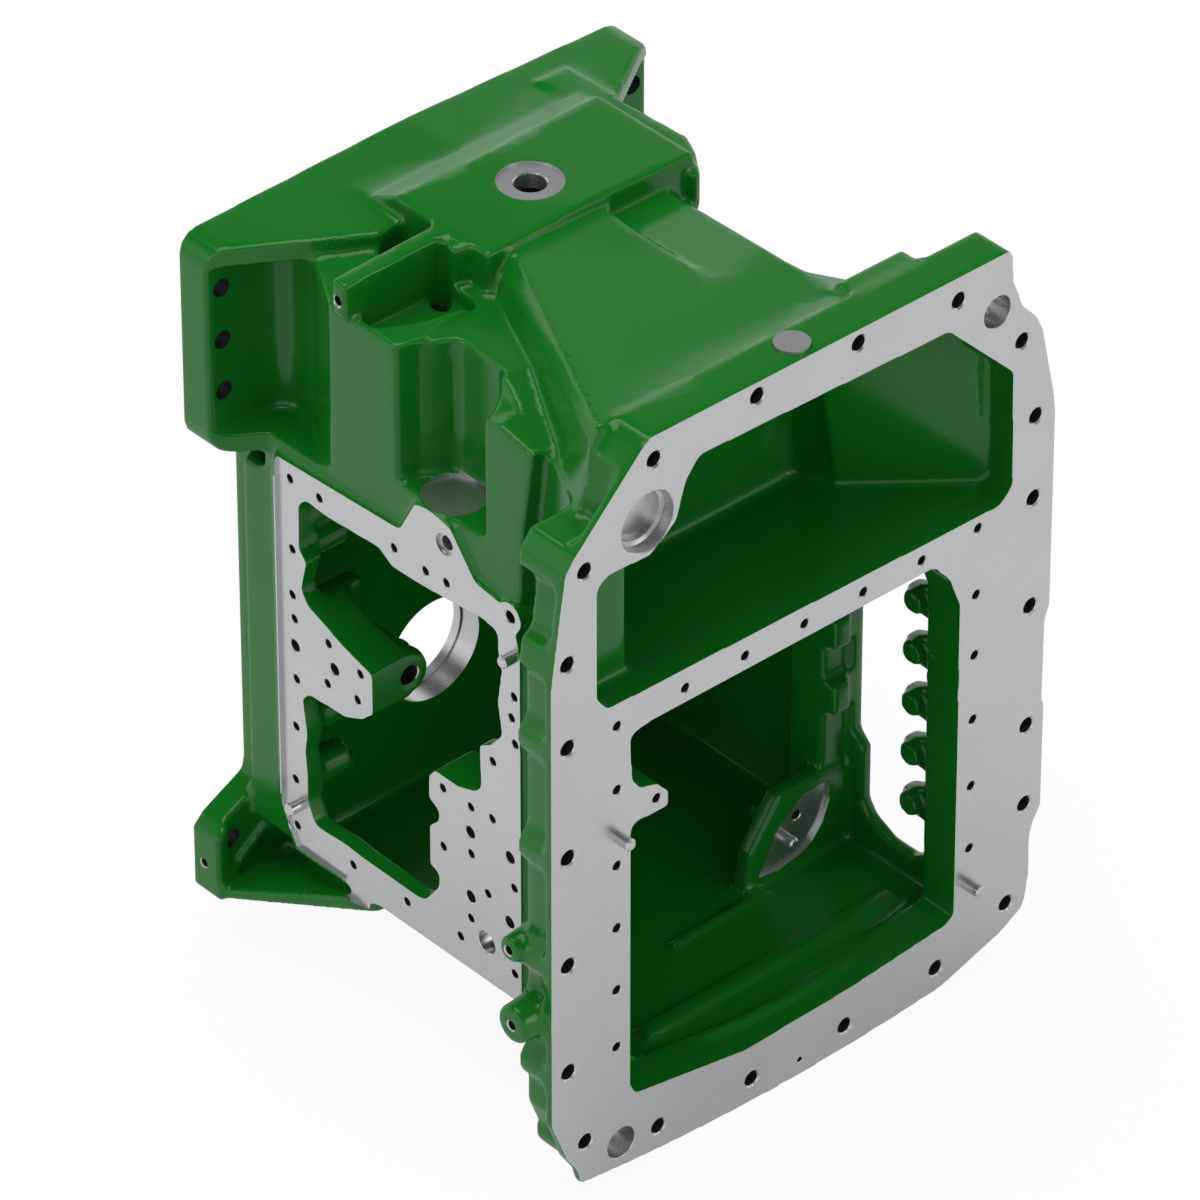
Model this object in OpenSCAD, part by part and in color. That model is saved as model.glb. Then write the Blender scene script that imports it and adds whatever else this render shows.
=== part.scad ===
// Gearbox housing: one hollow casting with machined faces, five dowel pins and a core plug.
// Units are mm. X = 0 is the parting plane, Y = 0 the front flange face, Z = 0 the base.
// The inside of the housing lies at +Y behind the front flange face. The last step moves every
// node so that the origin is at the centre of the footprint.

/* [Front flange] */
// Thickness of the flange from its machined face to its rear side
flange_thickness = 40; // [36:1:46]
// Depth of the full outline before the rim steps in between the bolt bosses
lip_depth = 9; // [5:1:14]
// How far the rim steps in between the bolt bosses
rim_step = 9; // [4:1:12]
// Radius of the boss behind each flange bolt hole
flange_boss_r = 19; // [16:0.5:22]
// Radius of the curved bottom edge
bottom_edge_r = 1800; // [1500:50:2600]
// Thread core diameter of the flange bolt holes
flange_hole_d = 14; // [10:0.5:16]
// Depth of the flange bolt holes
flange_hole_depth = 34; // [20:1:36]
// Diameter of the two large through holes in the flange
flange_clear_d = 29; // [20:0.5:32]
// Thread core diameter of the cover bolt holes
cover_hole_d = 8.5; // [6:0.5:11]
// Depth of the cover bolt holes
cover_hole_depth = 22; // [12:1:34]

/* [Body] */
// Outer face of the left side wall, measured from the parting plane
side_wall_x = 195; // [190:1:200]
// Outer face of the right side wall, measured from the parting plane
right_wall_x = 203; // [198:1:210]
// Thickness of the side walls
wall = 12; // [9:0.5:15]
// Overall depth from the front flange face to the rear mounting plane
depth = 479; // [470:1:500]
// Thickness of the rear wall round the big bore
rear_wall = 31; // [24:1:36]
// Height of the chamber floor at the parting plane
floor_z = 60; // [56:1:66]
// Height of the top of the shelf between the two chambers
shelf_z = 472; // [466:1:476]
// Draft of the top faces, falling from the parting plane to each side
draft = 1.5; // [0.5:0.1:2.5]

/* [Rear] */
// Radius of the big bore through the rear wall
rear_bore_r = 47.3; // [40:0.1:48]
// Height of the big bore axis
rear_bore_z = 185; // [180:1:190]
// Half width of the rear mounting bracket
bracket_half = 235; // [230:1:245]
// Top of the bracket at the parting plane
bracket_top = 697; // [692:1:704]
// Underside of the bracket
bracket_bottom = 493; // [486:1:496]
// Thickness of the bracket top and bottom gussets
gusset = 18; // [14:1:24]
// Diameter of the through holes in the bracket and the feet
rear_hole_d = 17; // [13:0.5:20]

/* [Side pad] */
// How far the machined pad stands out of the left wall
pad_height = 5; // [3:0.5:7]
// Depth of the bolt block that reaches into the opening
block_depth = 60; // [50:1:75]
// Thread core diameter of the small pad holes
pad_hole_d = 8; // [6:0.5:9]
// Thread core diameter of the larger pad holes
pad_hole_large_d = 11; // [9:0.5:12]

/* [Pins] */
// Diameter of the dowel pins
dowel_d = 11; // [8:0.5:12]
// Length of a dowel outside its face
dowel_out = 14; // [8:0.5:20]
// Length of a dowel inside its hole
dowel_in = 16; // [10:0.5:20]

/* [Hidden] */
$fn = 32;
// Clearance past a face so that a cut goes cleanly through it.
past = 1;
// Size of the small chamfer at the mouth of every drilled hole.
mouth = 0.4;
pad_x = side_wall_x + pad_height;
plateau_z = bracket_top + 18;
// Shift from the dimensions used here to the centre of the footprint.
to_centre = [9, -232, 0];
side_dowel_upper = [-pad_x, 120, 457];
side_dowel_lower = [-pad_x, 386, 160];
// Machined face of the inner bulkhead, and the rim that stands round it.
bulkhead_y = 150;
bulkhead_rim = 4;
// The flank of the neck starts here, behind the flange, and ends under the plateau.
neck_start = 38;
neck_end = 270;

// Flange bolt holes that look the same on both sides, [x, z].
bolts_mirrored = [[250, 458.5], [232.2, 619.6], [232.2, 56], [160.8, 691.1], [53.6, 700.1], [250, 539],
                  [250, 351.1]];
// Flange bolt holes that differ from side to side.
bolts_single = [[-250, 243.9], [-250, 136.6], [250, 230.4], [250, 150], [-51.5, 23.4], [51.5, 23.4],
                [-153.6, 29.3], [153.6, 29.3]];
flange_bolts = concat(bolts_mirrored, [for (b = bolts_mirrored) [-b[0], b[1]]], bolts_single);
// Cover bolt holes round the lower window.
cover_bolts = concat(
    [for (z = [454.5, 392.3, 317.3, 255.2, 192.9, 135.1]) [-198.7, z]],
    [for (z = [458.2, 392.4, 332, 267.3, 199.8, 135.8]) [188.6, z]],
    [for (x = [-127, -63.5, 0, 63.5, 127]) [x, 456]]);

// Two-dimensional outlines, [x, z] for the front and rear faces.
bottom_edge = [for (i = [0:8]) let (x = 159 - i * 49.6)
    [x, bottom_edge_r - sqrt(bottom_edge_r * bottom_edge_r - x * x)]];
flange_outline = concat(
    [[-242, 32], [-253, 49], [-269, 91], [-268, 524], [-259, 587], [-253, 625], [-244, 637], [-174, 708],
     [-165, 714], [215, 714], [219, 706], [220, 682], [226, 669], [231, 654], [247, 637], [254, 623],
     [269, 553], [271, 536], [272, 344], [267, 331], [266, 251], [269, 243], [269, 141], [261, 128],
     [257, 114], [257, 98], [258, 80], [254, 52], [249, 42], [227, 29]], bottom_edge);
upper_window = [[-114, 673], [151, 666], [222, 595], [225, 483], [212, 470], [-209, 477], [-220, 491],
                [-220, 596], [-210, 604], [-165, 603], [-138, 623], [-128, 656]];
lower_window = [[-165, 442], [141, 442], [158, 422], [170, 391], [172, 76], [163, 70], [56, 61], [-60, 58],
                [-179, 78], [-184, 88], [-184, 351], [-145, 350], [-145, 365], [-157, 378], [-175, 383],
                [-183, 395], [-185, 439]];
// Side pad outlines, [y, z] seen from the left.
pad_outline = [[408, 498], [256, 506], [237, 541], [207, 542], [195, 539], [166, 503], [142, 500],
               [118, 480], [114, 457], [114, 117], [119, 112], [331, 111], [392, 109], [400, 125],
               [412, 149], [412, 491]];
pad_opening = [[380, 464], [371, 473], [346, 471], [282, 475], [266, 465], [230, 466], [197, 469],
    [157, 473], [139, 470], [139, 451], [135, 434], [140, 401], [135, 371], [147, 355], [162, 346],
    [161, 304], [168, 297], [189, 290], [217, 290], [224, 281], [225, 258], [212, 252], [213, 241],
    [224, 231], [224, 191], [212, 188], [214, 173], [231, 151], [244, 149], [313, 150], [329, 151],
    [367, 149], [376, 168], [376, 199], [378, 218], [375, 237], [380, 270], [372, 279], [326, 282],
    [306, 291], [294, 302], [293, 343], [309, 347], [333, 354], [349, 361], [371, 369], [379, 381],
    [372, 411], [381, 420]];
pad_holes = [[390, 415], [391, 369], [389, 346], [388, 286], [355, 484], [391, 484], [349, 303],
    [347, 344], [321, 134], [312, 307], [308, 335], [264, 484], [254, 135], [226, 482], [201, 484],
    [208, 277], [208, 218], [188, 138], [174, 277], [174, 230], [175, 164], [154, 201], [148, 280],
    [147, 338], [121, 416], [124, 394], [120, 370], [122, 225], [122, 138], [390, 237], [392, 182],
    [391, 135]];
pad_holes_large = [[389, 319], [340, 322], [175, 251], [175, 186], [127, 253], [128, 187]];

// Extrusions of a flat outline along each axis, from one coordinate to the other.
module along_x(x0, x1) translate([x0, 0, 0]) rotate([90, 0, 90]) linear_extrude(x1 - x0) children();
module along_y(y0, y1) translate([0, y1, 0]) rotate([90, 0, 0]) linear_extrude(y1 - y0) children();
module along_z(z0, z1) translate([0, 0, z0]) linear_extrude(z1 - z0) children();

// Outline with every corner rounded by radius r in n steps.
function round_one(a, b, c, r, n) = let (u = (a - b) / norm(a - b), v = (c - b) / norm(c - b),
    half = acos(u * v) / 2, mid = b + (u + v) / norm(u + v) * r / sin(half),
    s = b + u * r / tan(half) - mid, a0 = atan2(s[1], s[0]),
    turn = (cross(b - a, c - b) > 0 ? 1 : -1) * (180 - 2 * half))
    [for (i = [0:n]) mid + r * [cos(a0 + turn * i / n), sin(a0 + turn * i / n)]];
function rounded(p, r, n = 3) = let (m = len(p))
    [for (i = [0:m - 1]) each round_one(p[(i + m - 1) % m], p[i], p[(i + 1) % m], r, n)];
// Outline part of the way from one outline to another with as many points.
function between(p, q, t) = [for (i = [0:len(p) - 1]) p[i] + (q[i] - p[i]) * t];

// Solid between two outlines with the same number of points, [x, z], at y0 and y1.
module loft_y(p0, y0, p1, y1) {
    m = len(p0);
    polyhedron(
        points = concat([for (p = p0) [p[0], y0, p[1]]], [for (p = p1) [p[0], y1, p[1]]]),
        faces = concat([[for (i = [0:m - 1]) i]], [[for (i = [0:m - 1]) 2 * m - 1 - i]],
            [for (i = [0:m - 1]) [i, m + i, (i + 1) % m]],
            [for (i = [0:m - 1]) [(i + 1) % m, m + i, m + (i + 1) % m]]));
}

// Holes, each with a small chamfer at the mouth, bored from y0, x0 or z0 into the metal.
module hole_y(x, z, d, deep, y0 = 0) translate([x, y0, z]) rotate([-90, 0, 0]) bored(d, deep);
module hole_x(y, z, d, deep, x0 = -pad_x) translate([x0, y, z]) rotate([0, 90, 0]) bored(d, deep);
module bored(d, deep) {
    translate([0, 0, -past]) cylinder(d = d, h = deep + past);
    translate([0, 0, -past]) cylinder(d1 = d + 2 * (mouth + past), d2 = d, h = mouth + past);
}

// Front flange: full lip, then a narrower rim with a boss behind each bolt hole. The upper left
// corner has a deeper boss with a flat top, and a pocket between it and the next boss.
corner_boss = [[-275, 640], [-275, 626], [-262, 620], [-252, 608], [-236, 592], [-233, 560], [-186, 560],
               [-186, 640]];
corner_notch = [[-280, 640], [-201, 640], [-197, 664], [-190, 690], [-190, 730], [-280, 730]];
module flange() {
    along_y(0, lip_depth) polygon(flange_outline);
    along_y(lip_depth - past, flange_thickness) intersection() {
        polygon(flange_outline);
        difference() {
            union() {
                offset(delta = -rim_step) polygon(flange_outline);
                for (b = flange_bolts) translate(b) circle(r = flange_boss_r);
                translate([-200, 640]) square([430, 80]);
            }
            polygon(corner_notch);
        }
    }
    along_y(lip_depth - past, 54) intersection() {
        polygon(flange_outline);
        polygon(corner_boss);
    }
    // Web that stiffens the flange behind its top edge, right of the neck.
    along_y(flange_thickness - past, 62) polygon([[84, 640], [84, 712], [156, 712], [165, 640]]);
    // Tapered boss and small lug with tapped ends that face left.
    translate([-290, 24, 191]) rotate([0, 90, 0]) cylinder(d1 = 33, d2 = 40, h = 40);
    translate([-275, 44, 247]) rotate([0, 90, 0]) cylinder(d1 = 22, d2 = 28, h = 30);
}

// Lower part of the body: straight walls over an underside that is chamfered on the left.
lower_section = [[-side_wall_x, 112], [-139, 42], [190, 42], [right_wall_x, 54],
                 [right_wall_x, 470], [-side_wall_x, 470]];
// Sections of the neck, [x, z]: at the flange, where its right side has turned straight, and
// under the plateau. The left flank runs straight through all of them.
neck_front = [[240, 465], [-120, 465], [-205, 645], [-198, 664], [-192, 700], [-185, 712], [160, 706],
              [225, 640]];
neck_rear = [[130, 465], [-90, 465], [-97, 628], [-87, 672], [-80, 691], [-66, 705], [85, 702], [112, 668]];
function neck_share(y) = (y - neck_start) / (neck_end - neck_start);
// Section at y with the left flank of the straight run and the given right side.
function neck_at(y, foot_x, top_x, side_x) = let (s = between(neck_front, neck_rear, neck_share(y)))
    [[foot_x, 465], s[1], s[2], s[3], s[4], s[5], [top_x, 703], [side_x, 668]];

module neck() {
    turns = [60, 100, 119];
    sections = [neck_front, neck_at(turns[0], 210, 88, 165), neck_at(turns[1], 156, 86, 126),
                neck_at(turns[2], 132, 85, 115), neck_rear];
    places = concat(neck_start, turns, neck_end);
    for (i = [0:3]) loft_y(sections[i], places[i], sections[i + 1], places[i + 1]);
}
// Scoop in the right half of the neck roof, deepest at the plateau.
module neck_scoop() {
    intersection() {
        along_x(20, 140) polygon([[132, 704], [284, 688], [284, 740], [132, 740]]);
        along_z(670, 740) polygon([[33, 284], [140, 284], [140, 110], [60, 125], [24, 137], [25, 170], [28, 230]]);
    }
}
roof_draft = [[-260, 400], [-260, plateau_z - 260 * tan(draft)], [0, plateau_z],
              [260, plateau_z - 260 * tan(draft)], [260, 400]];
// Plan of the part of the body between the recess and the bracket, [x, y].
rear_plan = [[-side_wall_x, 262], [-side_wall_x, 345], [-163, 400], [-150, 450], [150, 450], [151, 391],
             [156, 311], [145, 289], [125, 262]];

module body() {
    along_y(38, depth - 22) polygon(lower_section);
    difference() {
        neck();
        neck_scoop();
    }
    // Flat flank between the flange and the recess, with its top edge rising to the rear.
    intersection() {
        along_x(-200, -100) polygon([[38, 460], [38, 636], [177, 674], [177, 460]]);
        along_z(450, 680) polygon([[-199, 38], [-160, 177], [-100, 177], [-100, 38]]);
    }
    // Cheek in front of the recess, and the left wall below the recess.
    along_x(-side_wall_x, -150) polygon([[120, 460], [114, 577], [102, 656], [143, 664], [161, 660], [163, 460]]);
    translate([-side_wall_x, 160, 460]) cube([60, 270, 86]);
    // Block round the recess, up to the ledge at its top.
    along_z(460, 674) polygon([[-160, 176], [-190, 262], [-188, 275], [-100, 300], [-60, 300], [-60, 176]]);
    // Rear block with the ledge on the left and the shoulder on the right.
    intersection() {
        along_z(460, 720) polygon(rear_plan);
        along_y(258, 450) polygon([[-220, 460], [-220, 673], [-124, 680], [-116, 645], [-93, 642], [118, 642],
                                   [118, 697], [170, 695], [170, 682], [124, 664], [130, 460]]);
    }
    // Plateau with its sloping strip down to the bracket.
    intersection() {
        along_x(-93, 127) polygon([[270, 640], [270, 720], [366, 720], [414, 697], [450, 694], [450, 640]]);
        along_y(260, 460) polygon(roof_draft);
    }
    // Arm that reaches from the plateau out over the left wall, with a rib beside the plateau.
    along_y(316, 334) polygon([[-202, 675], [-202, 708], [-90, 712], [-90, 645], [-124, 645], [-170, 668]]);
    translate([-97, 302, 640]) cylinder(r = 8, h = 70);
}

// Rear bracket: back plate, top and bottom gussets with slanted front edges.
bracket_plan = [[-bracket_half, depth], [-bracket_half, 447], [-118, 370], [151, 391],
                [bracket_half, 447], [bracket_half, depth]];
bracket_face = rounded([[-bracket_half, bracket_bottom], [-bracket_half, bracket_top - 6],
    [0, bracket_top], [bracket_half, bracket_top - 6], [bracket_half, bracket_bottom]], 18);
module bracket() {
    intersection() {
        along_z(480, 710) polygon(bracket_plan);
        along_y(300, depth) polygon(bracket_face);
    }
}
module bracket_pockets() {
    z0 = bracket_bottom + gusset;
    z1 = bracket_top - 6 - gusset;
    along_z(z0, z1) polygon(concat([[-260, 330], [-260, 447], [-195, 447]],
        round_one([-195, 447], [-156, 447], [-156, 400], 22, 4), [[-163, 400], [-side_wall_x, 345], [-side_wall_x, 330]]));
    along_z(z0, z1) polygon(concat([[260, 330], [260, 447], [195, 447]],
        round_one([195, 447], [152, 447], [152, 400], 22, 4), [[152, 330]]));
}

// Rear plate, feet, the webs under them and the bosses the housing stands on.
foot_face = [[-238, 42], [-238, 104], [-227, 115], [-185, 137], [-182, 153], [-150, 160], [-120, 42]];
foot_web = [[depth, 42], [454, 42], [294, 99], [294, 113], [440, 57], [depth, 57]];
foot_plan = [[-238, depth], [-238, 454], [-200, 300], [-196, 294], [-100, 294], [-100, depth]];
module mirrored(s) if (s > 0) children(); else mirror([1, 0, 0]) children();
module foot() {
    along_y(454, depth) polygon(foot_face);
    along_y(448, depth) polygon([[-238, 42], [-238, 104], [-232, 110], [-225, 110], [-225, 42]]);
    // Rib on the front of the foot.
    along_y(448, 460) polygon([[-226, 64], [-226, 56], [-186, 88], [-186, 96]]);
    intersection() {
        along_x(-240, -100) polygon(foot_web);
        along_z(30, 120) polygon(foot_plan);
    }
}
module rear() {
    along_y(457, depth) polygon([[-183, 60], [-183, 510], [183, 510], [183, 60], [139, 42], [-139, 42]]);
    for (s = [-1, 1]) {
        mirrored(-s) foot();
        translate([s * 150, 461, 0]) cylinder(d = 36, h = 60);
    }
}

// Side pad on the left wall, with the lip along its rear and lower rear edges.
module pad() {
    along_x(-pad_x, -side_wall_x + wall) {
        polygon(pad_outline);
        translate([125, 492]) circle(d = 26);
    }
    along_x(-pad_x - 3, -side_wall_x) polygon([[412, 491], [412, 149], [400, 125], [392, 109], [331, 111],
        [331, 116], [388, 116], [396, 130], [406, 151], [406, 491]]);
}
// What stands inside the opening: the bolt block, the lower block and the bolt bosses.
module pad_block() {
    along_x(-pad_x, -pad_x + block_depth) polygon([[293, 302], [306, 291], [326, 282], [372, 279],
        [390, 279], [390, 369], [371, 369], [349, 361], [333, 354], [309, 347], [293, 343]]);
    along_x(-pad_x, -pad_x + 45) polygon([[150, 290], [217, 290], [224, 281], [225, 258], [212, 252],
        [150, 252]]);
    for (b = [[392, 415], [394, 444], [394, 237], [394, 182]])
        translate([-pad_x, b[0], b[1]]) rotate([0, 90, 0]) cylinder(r = 15, h = 52);
}

// Chambers inside the casting. The upper room narrows to the rear and lies under the neck.
room_front = [[222, shelf_z], [-164, shelf_z], [-164, 577], [-196, 640], [-160, 672], [143, 672], [205, 625]];
room_turn = [[130, shelf_z], [-160, shelf_z], [-160, 600], [-160, 650], [-135, 688], [74, 688], [102, 655]];
room_rear = [[115, shelf_z], [-150, shelf_z], [-145, 600], [-138, 640], [-118, 688], [74, 688], [102, 655]];
lower_room = [[-side_wall_x + wall, 125], [-134, 58], [0, floor_z], [120, 62], [190, 62],
              [190, 442], [-side_wall_x + wall, 442]];
module chambers() {
    along_y(-past, 28) polygon(rounded(upper_window, 6));
    along_y(-past, flange_thickness) polygon(lower_window);
    loft_y(room_front, 27, room_turn, 104);
    loft_y(room_turn, 104, room_rear, 140);
    along_y(flange_thickness - past, depth - rear_wall) polygon(lower_room);
    along_y(154, depth - rear_wall) polygon([[-139, 440], [-135, 560], [-84, 640], [100, 640], [106, 458],
        [190, 458], [190, 440]]);
    along_z(440, 484) polygon([[-183, 154], [-183, depth - rear_wall], [-100, depth - rear_wall], [-100, 154]]);
    along_z(480, 534) polygon([[-183, 154], [-183, 341], [-151, 396], [-139, 436], [-100, 436], [-100, 154]]);
    along_z(440, 646) polygon([[-183, 276], [-183, 341], [-151, 396], [-139, 436], [-100, 436], [-100, 290]]);
    translate([-80, 284, 630]) cube([190, 76, 68]);
}

// Recess in the left side, behind the cheek, with a milled spot on its floor.
recess_floor = 546;
recess_spot = [-173, 221];
module column_recess() {
    along_z(recess_floor, 720) polygon(concat([[-260, 163], [-188, 161]],
        round_one([-188, 161], [-150, 186], [-148, 238], 12, 3),
        round_one([-150, 186], [-148, 240], [-162, 250], 8, 2), [[-179, 260], [-196, 263], [-260, 264]]));
    translate([recess_spot[0], recess_spot[1], recess_floor - 1]) intersection() {
        cylinder(r = 28, h = 4);
        translate([-30, -60, 0]) cube([54, 98, 4]);
    }
    translate([recess_spot[0], recess_spot[1], recess_floor - 14]) cylinder(d = 7, h = 20);
}

// Right wall opening with the bolt bosses that reach into it as teeth.
module right_opening() {
    along_x(180, right_wall_x + past) difference() {
        polygon([[50, 100], [70, 86], [100, 86], [122, 96], [131, 108], [131, 162], [143, 173], [143, 385],
                 [131, 397], [50, 397]]);
        for (z = [147, 198, 249, 301, 352]) {
            translate([72, z]) circle(r = 11);
            polygon([[40, z + 26], [40, z - 26], [74, z - 11], [74, z + 11]]);
        }
    }
}

// What stands in the lower chamber: the bulkhead with its lens-shaped machined face, the jamb
// behind the right wall opening with its blocks, and the low ribs on the floor.
bulkhead_lens = [[89, 72], [111, 112], [138, 134], [163, 134], [169, 130], [169, 114], [161, 93], [150, 80],
                 [138, 73], [112, 69]];
module bulkhead() {
    difference() {
        union() {
            along_y(bulkhead_y - bulkhead_rim, 162) polygon([[74, 56], [74, 72], [79, 100], [111, 146],
                [152, 146], [160, 142], [192, 142], [192, 56]]);
            along_y(160, 176) polygon([[104, 56], [104, 124], [150, 124], [150, 56]]);
        }
        along_y(bulkhead_y - bulkhead_rim - past, bulkhead_y) polygon(bulkhead_lens);
    }
    along_y(149, 190) polygon([[160, 58], [192, 58], [192, 442], [174, 442], [160, 420]]);
    for (z = [208, 274, 340, 400])
        along_y(134, 150) polygon([[160, z], [160, z + 30], [192, z + 30], [192, z]]);
}
module floor_ribs() {
    for (r = [[137, -13, 88, 5], [67, -110, 165, 9]])
        along_x(r[1], r[2]) polygon([[r[0] - r[3], floor_z - 8], [r[0] - r[3] + 2, floor_z + 5],
            [r[0] + r[3] - 2, floor_z + 5], [r[0] + r[3], floor_z - 8]]);
    // Arc-shaped rib that follows the sill of the lower window.
    intersection() {
        translate([22, 588, floor_z - 8]) difference() {
            cylinder(r = 568, h = 12, $fn = 128);
            translate([0, 0, -past]) cylinder(r = 560, h = 14, $fn = 128);
        }
        along_z(40, 90) polygon([[-130, 10], [170, 10], [170, 50], [-130, 50]]);
    }
}

module housing_casting() {
    color([0.1, 0.38, 0.14]) difference() {
        union() {
            flange();
            body();
            bracket();
            rear();
            pad();
        }
        difference() {
            chambers();
            pad_block();
            bulkhead();
            floor_ribs();
        }
        along_x(-pad_x - past, -side_wall_x + wall + past) difference() {
            polygon(pad_opening);
            polygon([[293, 302], [293, 343], [380, 360], [380, 283]]);
        }
        column_recess();
        right_opening();
        bracket_pockets();
        front_holes();
        side_holes();
        rear_holes();
        top_holes();
    }
}

module front_holes() {
    for (b = flange_bolts) hole_y(b[0], b[1], flange_hole_d, flange_hole_depth);
    for (b = cover_bolts) hole_y(b[0], b[1], cover_hole_d, cover_hole_depth);
    hole_y(-194, 34.6, flange_clear_d, flange_thickness + 2 * past);
    hole_y(203.5, 660.7, flange_clear_d, flange_thickness + 2 * past);
    hole_y(-157, 363, cover_hole_d, 30);
    hole_y(1.5, 15, 5, 10);
    hole_y(-167, 635, 54, 20);
    for (p = [[-196, 344], [190, 97]]) hole_y(p[0], p[1], dowel_d, dowel_in);
}
module side_holes() {
    for (h = pad_holes) hole_x(h[0], h[1], pad_hole_d, 20);
    for (h = pad_holes_large) hole_x(h[0], h[1], pad_hole_large_d, 24);
    hole_x(202, 521, 20, 3);
    hole_x(202, 521, 13, 20);
    hole_x(156, 150, 20, 30);
    hole_x(125, 492, 11, 20);
    for (p = [side_dowel_upper, side_dowel_lower]) hole_x(p[1], p[2], dowel_d, dowel_in);
    // Tapped holes in the boss and the lug on the flange, the arm and the foot.
    hole_x(24, 191, 8.5, 24, -290);
    hole_x(44, 247, 8.5, 20, -275);
    hole_x(326, 690, 9, 24, -202);
    hole_x(467, 72, 8, 20, -238);
    // Cross hole in the front of the bolt block.
    hole_y(-160, 320, 14, 40, 293);
    // Holes in the machined face of the inner bulkhead.
    hole_y(135, 112, 9, 22, bulkhead_y);
    hole_y(121, 96, dowel_d, dowel_in, bulkhead_y);
}
module rear_holes() {
    translate([0, depth + past, rear_bore_z]) rotate([90, 0, 0]) {
        cylinder(r = rear_bore_r, h = rear_wall + 2 * past);
        translate([0, 0, 9 + past]) cylinder(r = 49, h = rear_wall);
    }
    for (s = [-1, 1], z = [649, 599, 550, 95])
        translate([s * (z < 100 ? 218 : 219), depth + past, z]) rotate([90, 0, 0])
            cylinder(d = rear_hole_d, h = 34);
    translate([-100, depth + past, 120]) rotate([90, 0, 0]) cylinder(d = rear_hole_d, h = 34);
}
module top_holes() {
    translate([0, 325, 620]) cylinder(d = 27, h = 120);
    translate([0, 325, plateau_z - 2.5]) cylinder(d = 56, h = 10);
    translate([0, 19.5, 700]) cylinder(d = 30, h = 30);
    // Drain hole in the floor.
    translate([-12, 64, 30]) cylinder(d = 6, h = 50);
}

// A dowel pin along Z, from inside its hole to its chamfered free end.
module dowel() {
    translate([0, 0, -dowel_in]) cylinder(d = dowel_d, h = dowel_in + dowel_out - 1.5);
    translate([0, 0, dowel_out - 1.5]) cylinder(d1 = dowel_d, d2 = dowel_d - 3, h = 1.5);
}
module dowel_front_left() color([0.8, 0.8, 0.82]) translate([-196, 0, 344]) rotate([90, 0, 0]) dowel();
module dowel_front_right() color([0.8, 0.8, 0.82]) translate([190, 0, 97]) rotate([90, 0, 0]) dowel();
module dowel_side_upper() color([0.8, 0.8, 0.82]) translate(side_dowel_upper) rotate([0, -90, 0]) dowel();
module dowel_side_lower() color([0.8, 0.8, 0.82]) translate(side_dowel_lower) rotate([0, -90, 0]) dowel();
module dowel_bulkhead() color([0.8, 0.8, 0.82]) translate([121, bulkhead_y, 96]) rotate([90, 0, 0]) dowel();
module core_plug() color([0.8, 0.8, 0.82]) translate([0, 19.5, 700]) cylinder(d = 30, h = 17);

translate(to_centre) housing_casting();
translate(to_centre) dowel_front_left();
translate(to_centre) dowel_front_right();
translate(to_centre) dowel_side_upper();
translate(to_centre) dowel_side_lower();
translate(to_centre) dowel_bulkhead();
translate(to_centre) core_plug();
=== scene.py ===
"""Gearbox housing in green enamel with machined faces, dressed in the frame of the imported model.

Lengths are metres, X to the right, Y to the rear, Z up, with the origin at the centre of the footprint.
Places on the housing are in millimetres from its own datum, and metres() turns them into the frame.

The housing is made as a foundry and a machine shop would make it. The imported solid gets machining
allowance on its faces and its bores are filled, its edges and corners are rounded as a sand mould
leaves them, and then the faces are milled and the holes are drilled again, crisp and bare.
"""
from collections import namedtuple

import bmesh
import bpy
import numpy as np
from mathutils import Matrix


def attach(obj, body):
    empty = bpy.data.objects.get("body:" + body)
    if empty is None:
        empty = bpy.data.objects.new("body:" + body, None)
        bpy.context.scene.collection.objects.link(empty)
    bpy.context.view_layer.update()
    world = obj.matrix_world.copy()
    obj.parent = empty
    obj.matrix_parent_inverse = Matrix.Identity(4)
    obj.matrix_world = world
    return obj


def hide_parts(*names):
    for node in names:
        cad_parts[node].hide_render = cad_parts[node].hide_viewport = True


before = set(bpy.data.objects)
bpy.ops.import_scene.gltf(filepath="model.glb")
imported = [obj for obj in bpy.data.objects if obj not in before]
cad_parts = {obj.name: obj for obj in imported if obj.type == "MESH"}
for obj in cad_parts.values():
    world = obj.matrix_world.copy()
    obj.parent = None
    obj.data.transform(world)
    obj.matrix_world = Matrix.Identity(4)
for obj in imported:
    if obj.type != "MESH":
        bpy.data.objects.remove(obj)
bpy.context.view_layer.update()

import openvdb
from mathutils import Matrix, Vector
from mathutils.geometry import tessellate_polygon

MM = 0.001

# Directions and axes.
RIGHT = (1, 0, 0)
FRONT, REAR = (0, -1, 0), (0, 1, 0)
DOWN, UP = (0, 0, -1), (0, 0, 1)
X, Y, Z = 0, 1, 2
# Any direction that isn't along one of these, from which a circle's first radius is found.
NOT_ALONG = (0.31, 0.52, 0.79)

# The datum is on the parting plane, the front flange face and the base, and lies here in the frame.
DATUM = np.array([9.0, -232.0, 0.0])

# Machined planes.
REAR_Y = 479.0
PAD_X = -200.0
LIP_X = -202.7
BULKHEAD_Y = 150.0
PLATEAU_Z = 715.0
FLANGE_TOP_Z = 714.0
RECESS_Z = 545.0

# Foundry and machine shop: the level sets' voxel, the cast radii and the machining allowance.
VOXEL = 1.6 * MM
INNER_RADIUS = 5.0 * MM
OUTER_RADIUS = 3.0 * MM
ALLOWANCE = 3.0
# The skin: how far its flat stretches are simplified when it is made, how many triangles it is then
# thinned to, and the angle in degrees from which an edge counts as machined and stays sharp.
SKIN_ADAPTIVITY = 0.03
SKIN_TRIANGLES = 150000
SHARP_ANGLE = 32
LARGE_FACE_WEIGHT = 80
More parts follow.
